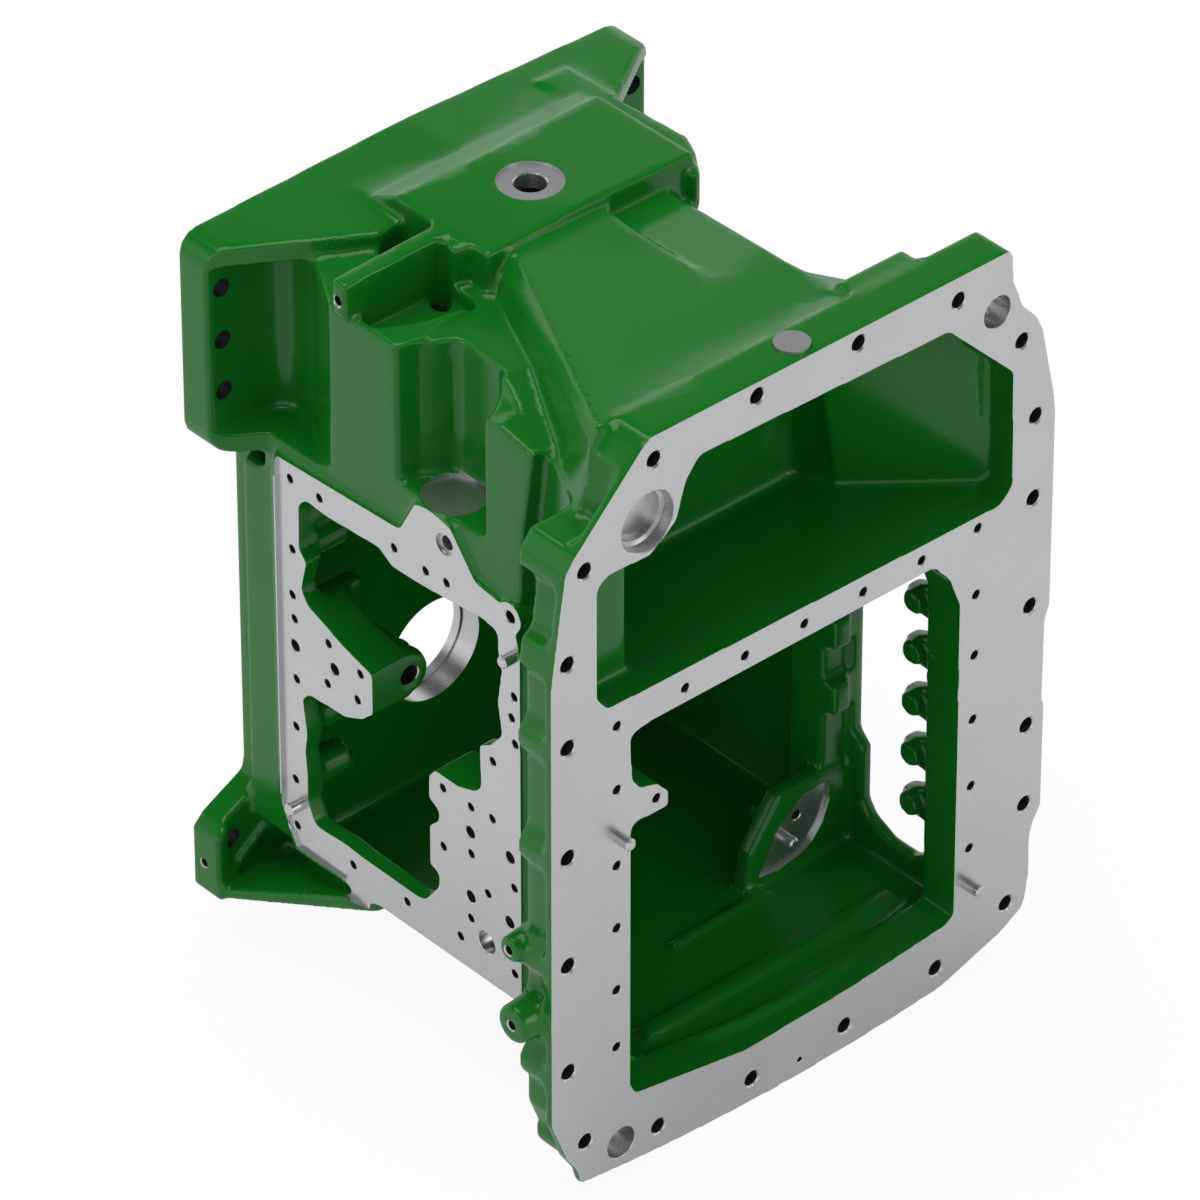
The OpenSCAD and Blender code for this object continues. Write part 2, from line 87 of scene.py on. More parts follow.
# How far a cutter starts outside the allowance, and the length of a drill's point over its radius.
CLEAR = 1.0
DRILL_POINT = 0.6
# Sides of a round form, and of one with a radius over WIDE_RADIUS.
WIDE_RADIUS = 20.0
SIDES, WIDE_SIDES = 36, 96

# Holes of the front face, [x, z]: large ones round the flange, clearance holes and counterbore in its
# corners, dowel holes, a small mark in the bottom bar, and cover holes round the lower window.
FLANGE_BOLTS_MIRRORED = [(250, 458.5), (232.2, 619.6), (232.2, 56), (160.8, 691.1), (53.6, 700.1),
                         (250, 539), (250, 351.1)]
FLANGE_BOLTS_SINGLE = [(-250, 243.9), (-250, 136.6), (250, 230.4), (250, 150), (-51.5, 23.4), (51.5, 23.4),
                       (-153.6, 29.3), (153.6, 29.3)]
FLANGE_BOLTS = FLANGE_BOLTS_MIRRORED + [(-x, z) for x, z in FLANGE_BOLTS_MIRRORED] + FLANGE_BOLTS_SINGLE
FLANGE_CLEARANCE = [(-194, 34.6), (203.5, 660.7)]
FLANGE_COUNTERBORE = (-167, 635)
FLANGE_DOWELS = [(-196, 344), (190, 97)]
FLANGE_MARK = (1.5, 15)
COVER_BOLTS = ([(-198.7, z) for z in (454.5, 392.3, 317.3, 255.2, 192.9, 135.1)]
               + [(188.6, z) for z in (458.2, 392.4, 332, 267.3, 199.8, 135.8)]
               + [(x, 456) for x in (-127, -63.5, 0, 63.5, 127)] + [(-157, 363)])
# Holes of the side pad, [y, z].
PAD_BOLTS = [(390, 415), (391, 369), (389, 346), (388, 286), (355, 484), (391, 484), (349, 303), (347, 344),
             (321, 134), (312, 307), (308, 335), (264, 484), (254, 135), (226, 482), (201, 484), (208, 277),
             (208, 218), (188, 138), (174, 277), (174, 230), (175, 164), (154, 201), (148, 280), (147, 338),
             (121, 416), (124, 394), (120, 370), (122, 225), (122, 138), (390, 237), (392, 182), (391, 135)]
PAD_BOLTS_LARGE = [(389, 319), (340, 322), (175, 251), (175, 186), (127, 253), (128, 187)]
PAD_EAR = (125, 492)
PAD_DOWELS = [(120, 457), (386, 160)]
PAD_STEPPED = (202, 521)
PAD_THROUGH = (156, 150)
# Holes of the rear face, [x, z]: three in each bracket pocket, one in each foot, one below the bore.
BRACKET_BOLTS = [(side * 219, z) for side in (-1, 1) for z in (649, 599, 550)]
FOOT_BOLTS = [(-218, 95), (218, 95), (-100, 120)]
REAR_BORE = (0, 185)
# Holes of the bulkhead, [x, z]: the tapped one, and the one that holds the dowel.
BULKHEAD_BOLT = (135, 112)
BULKHEAD_DOWEL = (121, 96)
# Places of the other holes, [x, y, z].
BOSS_LOWER = (-290, 24, 191)
BOSS_UPPER = (-275, 44, 247)
ARM_END = (-202, 326, 690)
FOOT_SIDE = (-238, 467, 72)
PORT = (0, 325, PLATEAU_Z)
PLUG = (0, 19.5, FLANGE_TOP_Z)
SPOT = (-173, 221, RECESS_Z)
# Axis of the round bar that runs to the rear beside the side opening, [x, z], and its front end.
BAR = (-160.0, 322.5)
BAR_FRONT_Y = 293

# Drill sizes in millimetres.
Drill = namedtuple("Drill", "radius depth chamfer")
M16 = Drill(7.0, 30, 1.4)
M10 = Drill(4.25, 20, 0.9)
PAD_SMALL = Drill(4.0, 16, 0.8)
PAD_LARGE = Drill(5.5, 20, 1.0)
REAR_BOLT = Drill(8.5, 45, 0.8)
MARK = Drill(2.5, 8, 0.4)
BOSS_DEEP = Drill(4.25, 20, 1.2)
BOSS_SHORT = Drill(4.25, 16, 1.2)
ARM_DRILL = Drill(4.5, 20, 1.8)
FOOT_DRILL = Drill(4.0, 16, 1.0)
BULKHEAD_DRILL = Drill(4.5, 18, 0.8)
BAR_DRILL = Drill(9.0, 40, 1.0)
CLEARANCE = Drill(14.5, 60, 0.6)
PAD_REAMED = Drill(10.0, 26, 1.0)

# Profiles of the machined seats, (radius, way into the metal).
COUNTERBORE_PROFILE = [(0, -5), (33, -5), (27, 1), (27, 12), (23, 13), (23, 18), (0, 19)]
STEPPED_PROFILE = [(0, -4), (10.5, -4), (10, 3), (6.5, 3.2), (6.5, 20), (0, 24)]
REAR_BORE_PROFILE = [(0, -5), (53, -5), (47.3, 0.8), (47.3, 9), (49, 9.2), (49, 45), (0, 45)]
PORT_PROFILE = [(0, -5), (28, -5), (28, 2.5), (14.5, 2.6), (13.5, 3.6), (13.5, 40), (0, 40)]
PLUG_PROFILE = [(0, -5), (17, -5), (15, 1), (15, 14), (0, 14)]
SPOT_PROFILE = [(0, 0), (28, 0), (28, 4), (0, 4)]

# Outlines of the milled faces: the pad inside its lip and the lip's top and flank, [y, z], and the
# lens-shaped face of the bulkhead, [x, z].
PAD_OUTLINE = [(60, 100), (331, 100), (331, 116), (388, 116), (396, 130), (406, 151), (406, 560), (60, 560)]
LIP_OUTLINE = [(406, 160), (406, 480), (411.6, 480), (411.6, 160)]
LIP_FLANK_OUTLINE = [(411.6, 160), (411.6, 480), (425, 480), (425, 160)]
BULKHEAD_OUTLINE = [(89, 72), (111, 112), (138, 134), (163, 134), (169, 130), (169, 114), (161, 93),
                    (150, 80), (138, 73), (112, 69)]
# Rectangle that is wider and higher than the housing, how thick the face cutters are, the depth of
# the lip's flank, and how deep the bulkhead's cutter is.
FACE_OUTLINE = [(-400, -100), (-400, 900), (400, 900), (400, -100)]
CUTTER_HEIGHT = 40
LIP_FLANK_X = -196
BULKHEAD_ROOM = 12

# Radius and depth of what fills each kind of hole before casting.
M16_FILLING = (9, 35)
CLEARANCE_FILLING = (16, 39.5)
COUNTERBORE_FILLING = (28, 20.5)
FLANGE_DOWEL_FILLING = (6.5, 17)
PAD_LARGE_FILLING = (7, 16.5)
PAD_DOWEL_FILLING = (6.5, 16.5)
PAD_WIDE_FILLING = (11, 16.5)
BRACKET_FILLING = (9.5, 31.5)
FOOT_FILLING = (9.5, 24.5)
REAR_BORE_FILLING = (49.5, 30.5)
BULKHEAD_FILLING = (7, 20)

# Forms that the mould keeps free: plans, [x, y], of the slot before the arm and of the recess's rear
# corner, with the heights they start from, and the room above them.
SLOT_PLAN = [(-188, 316), (-188, 296), (-160, 278), (-132, 268), (-106, 266), (-106, 316)]
SLOT_FLOOR_Z = 657
RECESS_REAR_PLAN = [(-200, 262), (-200, 268.5), (-170, 253.5), (-150, 243), (-150, 238), (-162, 249),
                    (-179, 259)]
RECESS_FLOOR_Z = 546
OPEN_Z = 730
# Forms that the mould adds: the recess's front corner, [x, y], and the boss and web, [y, z], that
# join the pad's ear to the flange.
RECESS_FRONT_PLAN = [(-186, 158), (-186, 162), (-153, 184), (-147, 192), (-100, 192), (-100, 158)]
RECESS_FRONT_Z = (540, 662)
EAR_X = -199
EAR_BOSS = (13.5, 40)
WEB_OUTLINE = [(36, 468), (36, 502), (70, 497), (125, 501), (130, 468)]
WEB_X = (-186, -160)
# Right wall from inside to outside, the teeth that reach into its opening, and the gaps cut between
# them in the wall, which end at GAP_ENDS_Z below the lowest and above the highest tooth.
RIGHT_WALL = (180, 203)
TEETH_Z = (147, 198, 249, 301, 352)
TOOTH_Y = 67
TOOTH_RADIUS = 11
GAP_ENDS_Z = (98, 404)
GAP_Y = (16, 54)
GAP_MARGINS = (12, 14)
GAP_X = (178, 194)
# Round bar: its radius, the length and width of the room cut beside it, and the bands round it.
BAR_RADIUS = 20
BAR_ROOM_Y = (285, 372)
BAR_ROOM = 60
BAND_RADIUS, BAND_WIDTH = 21.5, 5
BANDS_Y = (300, 314)

# The photograph's camera: its place in millimetres, its angles in degrees, and its focal length and
# frame width in pixels.
CAMERA_PLACE = (-4361.68, -4867.39, 5139.94)
CAMERA_ELEVATION, CAMERA_AZIMUTH, CAMERA_ROLL = 36.195, 41.863, 0.003
FOCAL_PIXELS, FRAME_PIXELS = 10030, 1200
SENSOR_WIDTH = 36
VIEW_REACH = 60

# What the gloss mirrors: the world's strength falls from 1 to CEILING between the heights HORIZON and
# HORIZON + FADE of the direction. AMBIENT is its strength for all other light.
HORIZON, FADE, CEILING, AMBIENT = 0.40, 0.20, 0.05, 0.56
# The floor: half its width, and how white it is to the camera and in the gloss.
FLOOR_HALF = 6.0
FLOOR_TO_CAMERA, FLOOR_IN_GLOSS = 0.93, 0.1
# Soft boxes: place, size and power. All look at LAMP_AIM.
LAMP_AIM = (0.0, 0.0, 0.35)
LAMPS = {"overhead": ((-0.4, 0.5, 3.4), 2.4, 46),
         "left": ((-3.4, 0.6, 1.7), 1.6, 10.5),
         "front": ((1.2, -3.6, 1.9), 1.8, 20)}


# Shader nodes

class Socket:
    """A socket of a node, so that shader maths can be written as Python expressions."""

    def __init__(self, tree, socket):
        self.tree = tree
        self.socket = socket

    def maths(self, operation, other, swapped=False):
        """A Math node on this value and another one, or on the two the other way round."""
        node = self.tree.nodes.new("ShaderNodeMath")
        node.operation = operation
        values = [self, other]
        if swapped:
            values.reverse()
        for place, value in zip(node.inputs, values):
            plug(self.tree, place, value)
        return Socket(self.tree, node.outputs[0])

    def __add__(self, other):
        return self.maths("ADD", other)

    def __mul__(self, other):
        return self.maths("MULTIPLY", other)

    def __rsub__(self, other):
        return self.maths("SUBTRACT", other, swapped=True)


def plug(tree, place, value):
    """Links a Socket to an input, or sets a constant on it."""
    if isinstance(value, Socket):
        tree.links.new(value.socket, place)
    else:
        place.default_value = value


class Nodes:
    """A node tree, and the one way in which nodes are added to it."""

    def __init__(self, tree):
        self.tree = tree

    def node(self, kind, inputs=None, settings=None, output=0):
        """Makes a node of a type, with its settings and the values or links of its sockets."""
        made = self.tree.nodes.new(kind)
        for name, value in (settings or {}).items():
            setattr(made, name, value)
        for name, value in (inputs or {}).items():
            plug(self.tree, made.inputs[name], value)
        return Socket(self.tree, made.outputs[output])

    def rays(self, kind):
        """1 on the rays of a kind, and 0 on all others."""
        return self.node("ShaderNodeLightPath", output=f"Is {kind} Ray")


class Finish(Nodes):
    """A material and the nodes of its Principled shader."""

    def __init__(self, name):
        self.material = bpy.data.materials.new(name)
        self.material.use_nodes = True
        super().__init__(self.material.node_tree)
        self.shader = self.tree.nodes["Principled BSDF"]

    def noise(self, scale, detail):
        """Noise on Object coordinates, which for every piece are the frame's own metres."""
        place = self.node("ShaderNodeTexCoord", output="Object")
        return self.node("ShaderNodeTexNoise", {"Vector": place, "Scale": scale, "Detail": detail})

    def blend(self, factor, low, high):
        """Colour between low and high, by a factor. Sockets 6 and 7 are the Mix node's two colours."""
        return self.node("ShaderNodeMix", {"Factor": factor, 6: (*low, 1), 7: (*high, 1)},
                         {"data_type": "RGBA"}, output=2)

    def bump(self, height, strength, distance):
        """Normal that is tilted by the slope of a height."""
        return self.node("ShaderNodeBump", {"Height": height, "Strength": strength, "Distance": distance})

    def set(self, inputs):
        """Sets or links sockets of the Principled shader."""
        for name, value in inputs.items():
            plug(self.tree, self.shader.inputs[name], value)


# Finishes

def green_enamel():
    """Glossy green enamel over a cast skin: soft orange peel and slow changes of depth."""
    enamel = Finish("green_enamel")
    cloud = enamel.noise(9.0, 3.0)
    peel = enamel.noise(260.0, 2.0)
    enamel.set({"Base Color": enamel.blend(cloud, (0.004, 0.140, 0.009), (0.007, 0.165, 0.013)),
                "Roughness": cloud * 0.08 + 0.14,
                "Normal": enamel.bump(peel, 0.03, 0.001),
                "Specular IOR Level": 0.34})
    return enamel.material


def milled_iron():
    """Machined cast iron: satin grey with fine cutter marks."""
    iron = Finish("milled_iron")
    cloud = iron.noise(14.0, 4.0)
    marks = iron.noise(1400.0, 2.0)
    iron.set({"Base Color": iron.blend(cloud, (0.54, 0.55, 0.555), (0.60, 0.61, 0.615)),
              "Metallic": 0.92,
              "Roughness": marks * 0.08 + 0.24,
              "Normal": iron.bump(marks, 0.05, 0.0005)})
    return iron.material


def painted_shade_thread():
    """Walls of the tapped holes in painted shade: a near-black colour stands for the shade deep inside them.
    """
    shade_finish = Finish("painted_shade_thread")
    shade_noise = shade_finish.noise(300.0, 2.0)
    # Near-black base colour: painted shade for the depth of the holes, not a colour of the metal.
    shade_finish.set({"Base Color": shade_finish.blend(shade_noise, (0.03, 0.03, 0.032), (0.06, 0.06, 0.062)),
               "Metallic": 0.5,
               "Roughness": shade_noise * 0.15 + 0.4})
    return shade_finish.material


# Closed shells, each a pair of corners and triangles

def metres(points):
    """Points in millimetres from the datum, as metres in the frame."""
    return (np.asarray(points, float) + DATUM) * MM


def merged(mesh):
    """Corners and triangles of a mesh, with the corners that lie on one another made one."""
    corners = np.zeros(len(mesh.vertices) * 3)
    mesh.vertices.foreach_get("co", corners)
    mesh.calc_loop_triangles()
    triangles = np.zeros(len(mesh.loop_triangles) * 3, np.int32)
    mesh.loop_triangles.foreach_get("vertices", triangles)
    corners, where = np.unique(corners.reshape(-1, 3).round(6), axis=0, return_inverse=True)
    return corners, where.reshape(-1)[triangles].reshape(-1, 3)


def joined(shells):
    """One list of corners and one of triangles from several closed shells."""
    starts = np.cumsum([0] + [len(corners) for corners, triangles in shells[:-1]])
    return (np.concatenate([corners for corners, triangles in shells]),
            np.concatenate([triangles + start for start, (corners, triangles) in zip(starts, shells)]))


def allowance_on(shell, axis, plane, out, low=(-1000, -1000, -1000), high=(1000, 1000, 1000)):
    """Closed slab over the triangles of a shell that lie in a plane, inside a box from low to high.

    The same triangles are shifted out of the metal and into it by the allowance, and a wall of two
    triangles joins each pair of edges that only one of the triangles has. `out` is 1 where the
    metal's outside lies towards the axis's positive end, and -1 where it lies the other way.
    """
    corners, triangles = shell
    nearly = 0.01 * MM
    flat = np.abs(corners[:, axis] - (plane + DATUM[axis]) * MM) < nearly
    flat &= np.all((corners >= metres(low)) & (corners <= metres(high)), axis=1)
    faces = triangles[flat[triangles].all(axis=1)]
    count = len(corners)
    edges = np.concatenate([faces[:, [0, 1]], faces[:, [1, 2]], faces[:, [2, 0]]])
    forwards = edges[:, 0] * count + edges[:, 1]
    backwards = edges[:, 1] * count + edges[:, 0]
    border = edges[~np.isin(forwards, backwards)]
    shift = np.zeros(3)
    shift[axis] = out * ALLOWANCE * MM
    walls = np.concatenate([np.stack([border[:, 0], border[:, 0] + count, border[:, 1]], 1),
                            np.stack([border[:, 1], border[:, 0] + count, border[:, 1] + count], 1)])
    return (np.concatenate([corners + shift, corners - shift]),
            np.concatenate([faces, faces[:, ::-1] + count, walls]))


def turned(place, towards, profile):
    """Closed surface of revolution about the line from a place along a direction.

    A profile point (radius, way) becomes a ring of that radius, that far along the line: the place
    plus way times the direction plus radius times the unit circle across it. The first and last
    points have radius 0 and close the ends.
    """
    sides = WIDE_SIDES if max(radius for radius, way in profile) > WIDE_RADIUS else SIDES
    towards = np.array(towards, float)
    across = np.cross(towards, NOT_ALONG)
    across /= np.linalg.norm(across)
    above = np.cross(towards, across)
    angle = np.linspace(0, 2 * np.pi, sides, endpoint=False)
    circle = np.outer(np.cos(angle), across) + np.outer(np.sin(angle), above)
    radius, way = np.array(profile, float).T
    rings = np.array(place, float) + way[:, None, None] * towards + radius[:, None, None] * circle
    index = np.arange(len(profile) * sides).reshape(len(profile), sides)
    beside = np.roll(index, -1, axis=1)
    lower, upper = index[:-1].ravel(), index[1:].ravel()
    lower_beside, upper_beside = beside[:-1].ravel(), beside[1:].ravel()
    triangles = np.concatenate([np.stack([lower, upper, lower_beside], 1),
                                np.stack([lower_beside, upper, upper_beside], 1)])
    corners, where = np.unique(metres(rings.reshape(-1, 3)).round(8), axis=0, return_inverse=True)
    triangles = where.reshape(-1)[triangles]
    whole = ((triangles[:, 0] != triangles[:, 1]) & (triangles[:, 1] != triangles[:, 2])
             & (triangles[:, 2] != triangles[:, 0]))
    return corners, triangles[whole]


def rod(place, towards, radius, end, start=0.0):
    """Round rod along a direction, between two ways from a place."""
    return turned(place, towards, [(0, start), (radius, start), (radius, end), (0, end)])


def prism(outline, axis, low, high):
    """Closed prism of an outline between two planes across an axis.

    The outline has the two other coordinates. Its points are repeated at both ends, with an ear-cut
    cover over each end and two triangles between each pair of neighbouring points.
    """
    flat = np.array(outline, float)
    count = len(flat)
    ends = [np.insert(flat, axis, level, axis=1) for level in (low, high)]
    cover = np.array(tessellate_polygon([[Vector((*point, 0)) for point in flat]]))
    here = np.arange(count)
    beside = np.roll(here, -1)
    walls = np.concatenate([np.stack([here, beside, here + count], 1),
                            np.stack([beside, beside + count, here + count], 1)])
    return metres(np.concatenate(ends)), np.concatenate([cover, cover[:, ::-1] + count, walls])


# Pattern shop: what is filled, added and kept free before casting

def fillings():
    """Rods in the holes that the rounding would not close by itself, each a little wider than its hole."""
    above = -ALLOWANCE - 0.2
    shells = [rod((x, 0, z), REAR, *M16_FILLING, above) for x, z in FLANGE_BOLTS]
    shells += [rod((x, 0, z), REAR, *CLEARANCE_FILLING, above) for x, z in FLANGE_CLEARANCE]
    shells += [rod((x, 0, z), REAR, *COUNTERBORE_FILLING, above) for x, z in [FLANGE_COUNTERBORE]]
    shells += [rod((x, 0, z), REAR, *FLANGE_DOWEL_FILLING, above) for x, z in FLANGE_DOWELS]
    shells += [rod((PAD_X, y, z), RIGHT, *PAD_LARGE_FILLING, above) for y, z in PAD_BOLTS_LARGE + [PAD_EAR]]
    shells += [rod((PAD_X, y, z), RIGHT, *PAD_DOWEL_FILLING, above) for y, z in PAD_DOWELS]
    shells += [rod((PAD_X, y, z), RIGHT, *PAD_WIDE_FILLING, above) for y, z in (PAD_STEPPED, PAD_THROUGH)]
    shells += [rod((x, REAR_Y, z), FRONT, *BRACKET_FILLING, above) for x, z in BRACKET_BOLTS]
    shells += [rod((x, REAR_Y, z), FRONT, *FOOT_FILLING, above) for x, z in FOOT_BOLTS]
    shells += [rod((x, REAR_Y, z), FRONT, *REAR_BORE_FILLING, above) for x, z in [REAR_BORE]]
    shells += [rod((x, BULKHEAD_Y, z), REAR, *BULKHEAD_FILLING, -ALLOWANCE)
               for x, z in (BULKHEAD_BOLT, BULKHEAD_DOWEL)]
    shells += [rod(PORT, DOWN, 28.3, 4.3, 0.8),
               rod(PORT, DOWN, 15, 16.5, 3),
               rod(PLUG, DOWN, 15.5, 15),
               rod(SPOT, DOWN, 26, 15.5, -0.5)]
    return shells


def beside_bar():
    """Outline, [x, z], of the room to the right of the round bar: a square less half of the bar's circle."""
    angle = np.radians(np.linspace(90, -90, 13))
    arc = np.stack([BAR[0] + BAR_RADIUS * np.cos(angle), BAR[1] + BAR_RADIUS * np.sin(angle)], 1)
    right, low, high = BAR[0] + BAR_ROOM, BAR[1] - BAR_ROOM, BAR[1] + BAR_ROOM
    return arc.tolist() + [(BAR[0], low), (right, low), (right, high), (BAR[0], high)]


def between_teeth(lower, upper):
    """Gap in the right wall between two heights: a rectangle that narrows a little to the rear."""
    front, rear = GAP_Y
    wide, narrow = GAP_MARGINS
    outline = [(front, lower + wide), (rear, lower + narrow), (rear, upper - narrow), (front, upper - wide)]
    return prism(outline, X, *GAP_X)


def hollows():
    """What the mould keeps free: gaps between the teeth, slot before the arm, recess, side of the bar."""
    lowest, highest = GAP_ENDS_Z
    gaps = [between_teeth(*span) for span in zip((lowest, *TEETH_Z), (*TEETH_Z, highest))]
    return gaps + [prism(SLOT_PLAN, Z, SLOT_FLOOR_Z, OPEN_Z),
                   prism(RECESS_REAR_PLAN, Z, RECESS_FLOOR_Z, OPEN_Z),
                   prism(beside_bar(), Y, *BAR_ROOM_Y)]


def cast_details():
    """What the mould adds: recess corner, boss and web of the pad's ear, teeth, and bands on the bar."""
    inside, outside = RIGHT_WALL
    shells = [prism(RECESS_FRONT_PLAN, Z, *RECESS_FRONT_Z),
              rod((EAR_X, *PAD_EAR), RIGHT, *EAR_BOSS),
              prism(WEB_OUTLINE, X, *WEB_X)]
    shells += [rod((inside, TOOTH_Y, z), RIGHT, TOOTH_RADIUS, outside - inside) for z in TEETH_Z]
    shells += [rod((BAR[0], y, BAR[1]), REAR, BAND_RADIUS, BAND_WIDTH) for y in BANDS_Y]
    return shells


# Machine shop: the cutters

def milling():
    """Cutters of the flat machined faces."""
    return [turned(SPOT, UP, SPOT_PROFILE),
            prism(FACE_OUTLINE, Y, -CUTTER_HEIGHT, 0),
            prism(FACE_OUTLINE, Y, REAR_Y, REAR_Y + CUTTER_HEIGHT),
            prism(PAD_OUTLINE, X, PAD_X - CUTTER_HEIGHT, PAD_X),
            prism(LIP_OUTLINE, X, LIP_X - CUTTER_HEIGHT, LIP_X),
            prism(LIP_FLANK_OUTLINE, X, LIP_X - CUTTER_HEIGHT, LIP_FLANK_X),
            prism(BULKHEAD_OUTLINE, Y, BULKHEAD_Y - BULKHEAD_ROOM, BULKHEAD_Y)]


def tapped_holes():
    """Place, direction and drill of each tapped hole and small bore."""
    holes = [((x, 0, z), REAR, M16) for x, z in FLANGE_BOLTS]
    holes += [((x, 0, z), REAR, M10) for x, z in COVER_BOLTS]
    holes += [((PAD_X, y, z), RIGHT, PAD_SMALL) for y, z in PAD_BOLTS]
    holes += [((PAD_X, y, z), RIGHT, PAD_LARGE) for y, z in PAD_BOLTS_LARGE + [PAD_EAR]]
    holes += [((x, REAR_Y, z), FRONT, REAR_BOLT) for x, z in BRACKET_BOLTS + FOOT_BOLTS]
    holes += [((FLANGE_MARK[0], 0, FLANGE_MARK[1]), REAR, MARK),
              (BOSS_LOWER, RIGHT, BOSS_DEEP),
              (BOSS_UPPER, RIGHT, BOSS_SHORT),
              (ARM_END, RIGHT, ARM_DRILL),
              (FOOT_SIDE, RIGHT, FOOT_DRILL),
              ((BULKHEAD_BOLT[0], BULKHEAD_Y, BULKHEAD_BOLT[1]), REAR, BULKHEAD_DRILL),
              ((BAR[0], BAR_FRONT_Y, BAR[1]), REAR, BAR_DRILL)]
    return holes


def drilled(place, towards, drill):
    """Cutter of a drilled hole: a rod that ends in a cone, the drill's point."""
    radius, depth = drill.radius, drill.depth
    above = -ALLOWANCE - CLEAR
    point = depth + radius * DRILL_POINT
    return turned(place, towards, [(0, above), (radius, above), (radius, depth), (0, point)])


def mouth(drill):
    """Profile of a chamfer at 45 degrees that goes on above the face."""
    over = ALLOWANCE + CLEAR
    return [(0, -over), (drill.radius + drill.chamfer + over, -over), (drill.radius, drill.chamfer)]


def countersunk(place, towards, drill):
    """Cutter of the chamfer round a hole's mouth."""
    return turned(place, towards, mouth(drill) + [(0, drill.chamfer)])


def bored_through(place, towards, drill):
    """Cutter of a hole that goes through a wall, chamfered on the side it starts from."""
    return turned(place, towards, mouth(drill) + [(drill.radius, drill.depth), (0, drill.depth)])


def drilling():
    """Cutters of the walls of the tapped holes."""
    return [drilled(*hole) for hole in tapped_holes()]


def boring():
    """Cutters of the chamfers, of the bores, and of the machined seats."""
    shells = [countersunk(*hole) for hole in tapped_holes()]
    shells += [bored_through((x, 0, z), REAR, CLEARANCE) for x, z in FLANGE_CLEARANCE]
    shells += [bored_through((PAD_X, *PAD_THROUGH), RIGHT, PAD_REAMED)]
    shells += [turned((x, 0, z), REAR, COUNTERBORE_PROFILE) for x, z in [FLANGE_COUNTERBORE]]
    shells += [turned((x, REAR_Y, z), FRONT, REAR_BORE_PROFILE) for x, z in [REAR_BORE]]
    shells += [turned((PAD_X, *PAD_STEPPED), RIGHT, STEPPED_PROFILE),
               turned(PORT, DOWN, PORT_PROFILE),
               turned(PLUG, DOWN, PLUG_PROFILE)]
    return shells


# The casting

def mesh_object(name, corners, faces, *finishes):
    """Object with a mesh of corners and of arrays of faces, and its finishes."""
    mesh = bpy.data.meshes.new(name)
    mesh.from_pydata(corners.tolist(), [], [face for array in faces for face in array.tolist()])
    for finish in finishes:
        mesh.materials.append(finish)
    made = bpy.data.objects.new(name, mesh)
    bpy.context.scene.collection.objects.link(made)
    return made


def outward(thing):
    """Turns all faces of a closed mesh outwards."""
    work = bmesh.new()
    work.from_mesh(thing.data)
    bmesh.ops.recalc_face_normals(work, faces=work.faces)
    work.to_mesh(thing.data)
    work.free()


def apply_modifiers(thing):
    """Makes what a thing's modifiers show its own mesh."""
    bpy.context.view_layer.update()
    finished = bpy.data.meshes.new_from_object(thing.evaluated_get(bpy.context.evaluated_depsgraph_get()))
    thing.modifiers.clear()
    thing.data = finished


def cut(thing, shells, finish):
    """Takes closed shells out of a thing, and leaves a finish on the new faces."""
    corners, triangles = joined(shells)
    cutter = mesh_object("cutter", corners, [triangles], finish)
    outward(cutter)
    tool = thing.modifiers.new("cut", "BOOLEAN")
    tool.operation = "DIFFERENCE"
    tool.solver = "MANIFOLD"
    tool.object = cutter
    tool.material_mode = "TRANSFER"
    apply_modifiers(thing)
    bpy.data.objects.remove(cutter)


def cast_skin(shell):
    """Rounds a closed shell as a sand mould does, with level sets, into corners and arrays of faces.

    The surface is moved out by the inner radius, in by the inner and outer radius together, and out
    by the outer radius. The first pair of moves fills each concave corner with a fillet, the second
    rounds each convex edge.
    """
    corners, triangles = shell
    triangles = triangles.astype(np.uint32)
    quads = None
    spacing = openvdb.createLinearTransform(voxelSize=VOXEL)
    moves = ((INNER_RADIUS, 0.0), (-INNER_RADIUS - OUTER_RADIUS, 0.0), (OUTER_RADIUS, SKIN_ADAPTIVITY))
    for move, adaptivity in moves:
        field = openvdb.FloatGrid.createLevelSetFromPolygons(
            np.ascontiguousarray(corners, np.float32), triangles=triangles, quads=quads, transform=spacing,
            halfWidth=abs(move) / VOXEL + 2)
        corners, triangles, quads = field.convertToPolygons(isovalue=move, adaptivity=adaptivity)
        if not len(triangles):
            triangles = None
    return corners, [quads] if triangles is None else [quads, triangles]


def thinned(thing, triangles):
    """Thins a mesh to about that many triangles, where its surface is flattest."""
    now = sum(len(face.vertices) - 2 for face in thing.data.polygons)
    if now > triangles:
        fewer = thing.modifiers.new("fewer", "DECIMATE")
        fewer.ratio = triangles / now
        apply_modifiers(thing)


def smooth_skin(thing):
    """Smooth shading with sharp machined edges, and normals that the large faces lead."""
    mesh = thing.data
    mesh.polygons.foreach_set("use_smooth", np.ones(len(mesh.polygons), bool))
    mesh.set_sharp_from_angle(angle=np.radians(SHARP_ANGLE))
    lead = thing.modifiers.new("lead", "WEIGHTED_NORMAL")
    lead.mode = "FACE_AREA_WITH_ANGLE"
    lead.weight = LARGE_FACE_WEIGHT
    lead.keep_sharp = True


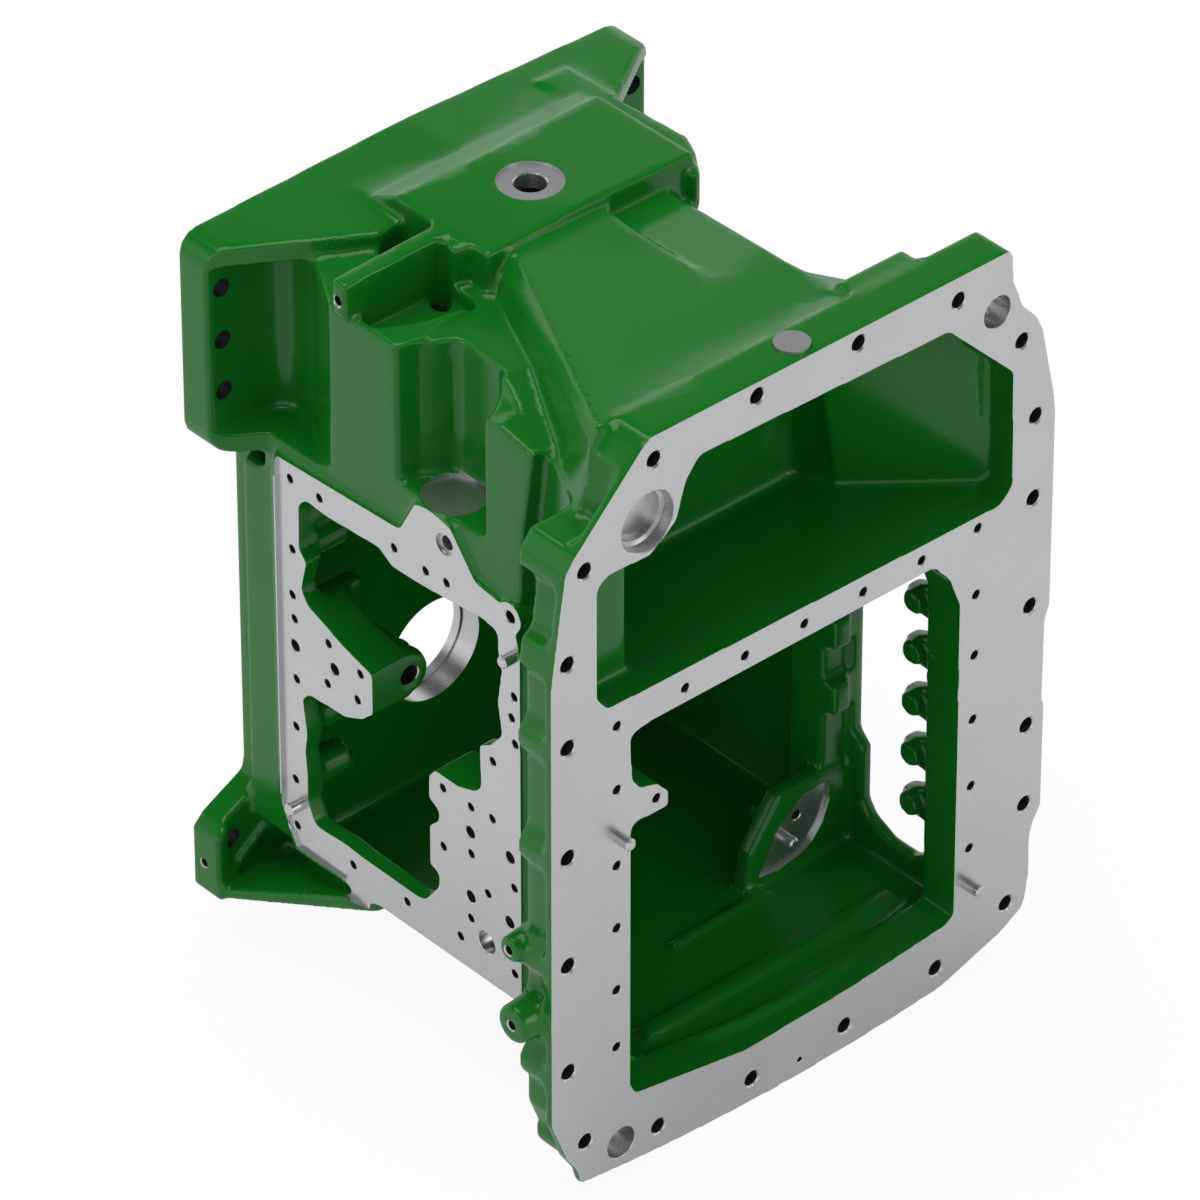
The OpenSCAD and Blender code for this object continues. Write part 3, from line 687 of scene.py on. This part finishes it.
def housing(paint, metal, thread_shade):
    """The casting: hollows, allowance and fillings, rounding, milling and drilling."""
    solid = merged(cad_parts["housing_casting"].data)
    allowances = [allowance_on(solid, Y, 0, -1),
                  allowance_on(solid, Y, REAR_Y, 1),
                  allowance_on(solid, X, PAD_X, -1, (-300, 60, 100), (-150, 420, 560)),
                  allowance_on(solid, Y, BULKHEAD_Y, -1, (80, 140, 60), (175, 160, 140))]
    pattern = mesh_object("pattern", solid[0], [solid[1]], paint)
    cut(pattern, hollows(), paint)
    shells = [merged(pattern.data)] + allowances + fillings() + cast_details()
    bpy.data.objects.remove(pattern)
    casting = mesh_object("housing", *cast_skin(joined(shells)), paint, metal, thread_shade)
    outward(casting)
    thinned(casting, SKIN_TRIANGLES)
    cut(casting, milling(), metal)
    # The walls of the tapped holes get the painted shade finish.
    cut(casting, drilling(), thread_shade)
    cut(casting, boring(), metal)
    smooth_skin(casting)
    return casting


# Camera and light

def photo_camera():
    """Camera at the photograph's angle, with its long lens.

    It looks along the azimuth, tilted down by the elevation, and is rolled about the line of sight.
    """
    elevation, azimuth, roll = np.radians([CAMERA_ELEVATION, CAMERA_AZIMUTH, CAMERA_ROLL])
    up = np.array(UP, float)
    ahead = np.array([np.sin(azimuth), np.cos(azimuth), 0.0])
    right = np.array([np.cos(azimuth), -np.sin(azimuth), 0.0])
    forward = np.cos(elevation) * ahead - np.sin(elevation) * up
    top = np.sin(elevation) * ahead + np.cos(elevation) * up
    turn = np.eye(4)
    turn[:3, 0] = np.cos(roll) * right + np.sin(roll) * top
    turn[:3, 1] = np.cos(roll) * top - np.sin(roll) * right
    turn[:3, 2] = -forward
    turn[:3, 3] = np.array(CAMERA_PLACE) * MM
    lens = bpy.data.cameras.new("photo_camera")
    lens.sensor_width = SENSOR_WIDTH
    lens.lens = SENSOR_WIDTH * FOCAL_PIXELS / FRAME_PIXELS
    lens.clip_end = VIEW_REACH
    camera = bpy.data.objects.new("photo_camera", lens)
    bpy.context.scene.collection.objects.link(camera)
    camera.matrix_world = Matrix(turn.tolist())
    bpy.context.scene.camera = camera


def lamp(name, place, size, power):
    """Square soft box at a place, turned towards LAMP_AIM."""
    light = bpy.data.lights.new(name, "AREA")
    light.size = size
    light.energy = power
    box = bpy.data.objects.new(name, light)
    bpy.context.scene.collection.objects.link(box)
    look = Vector(place) - Vector(LAMP_AIM)
    box.matrix_world = Matrix.Translation(place) @ look.to_track_quat("Z", "Y").to_matrix().to_4x4()


def surround():
    """World that is white to the camera, a bright horizon under a dark ceiling in gloss, and else dim."""
    world = bpy.data.worlds.new("studio")
    bpy.context.scene.world = world
    world.use_nodes = True
    sky = Nodes(world.node_tree)
    direct = sky.rays("Camera") + sky.rays("Transmission")
    mirrored = sky.rays("Glossy")
    way = sky.node("ShaderNodeTexCoord", output="Generated")
    height = sky.node("ShaderNodeSeparateXYZ", {"Vector": way}, output="Z")
    horizon = sky.node("ShaderNodeMapRange", {"Value": height, "From Min": HORIZON,
                                              "From Max": HORIZON + FADE, "To Min": 1.0, "To Max": CEILING})
    background = sky.tree.nodes["Background"]
    background.inputs["Color"].default_value = (1, 1, 1, 1)
    strength = direct + mirrored * horizon + (1 - direct) * (1 - mirrored) * AMBIENT
    plug(sky.tree, background.inputs["Strength"], strength)


def floor():
    """White floor that keeps the housing's shadow."""
    white = Finish("floor_white")
    white.set({"Base Color": (0.9, 0.9, 0.9, 1), "Roughness": 0.8})
    glow = white.node("ShaderNodeEmission", {"Strength": 1.0})
    share = (white.rays("Camera") + white.rays("Transmission")) * FLOOR_TO_CAMERA
    share = share + white.rays("Glossy") * FLOOR_IN_GLOSS
    lit = Socket(white.tree, white.shader.outputs[0])
    mixed = white.node("ShaderNodeMixShader", {0: share, 1: lit, 2: glow})
    plug(white.tree, white.tree.nodes["Material Output"].inputs["Surface"], mixed)
    corners = np.array([(-1, -1, 0), (1, -1, 0), (1, 1, 0), (-1, 1, 0)]) * FLOOR_HALF
    return mesh_object("floor", corners, [np.array([[0, 1, 2, 3]])], white.material)


bpy.context.scene.view_settings.view_transform = "Standard"
paint = green_enamel()
metal = milled_iron()
# The third finish is the painted shade on the walls of the tapped holes.
casting = housing(paint, metal, painted_shade_thread())
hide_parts("housing_casting")
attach(casting, "root")
for name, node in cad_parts.items():
    if name != "housing_casting":
        node.data.materials.clear()
        node.data.materials.append(metal)
photo_camera()
surround()
floor()
for name, (place, size, power) in LAMPS.items():
    lamp(name, place, size, power)
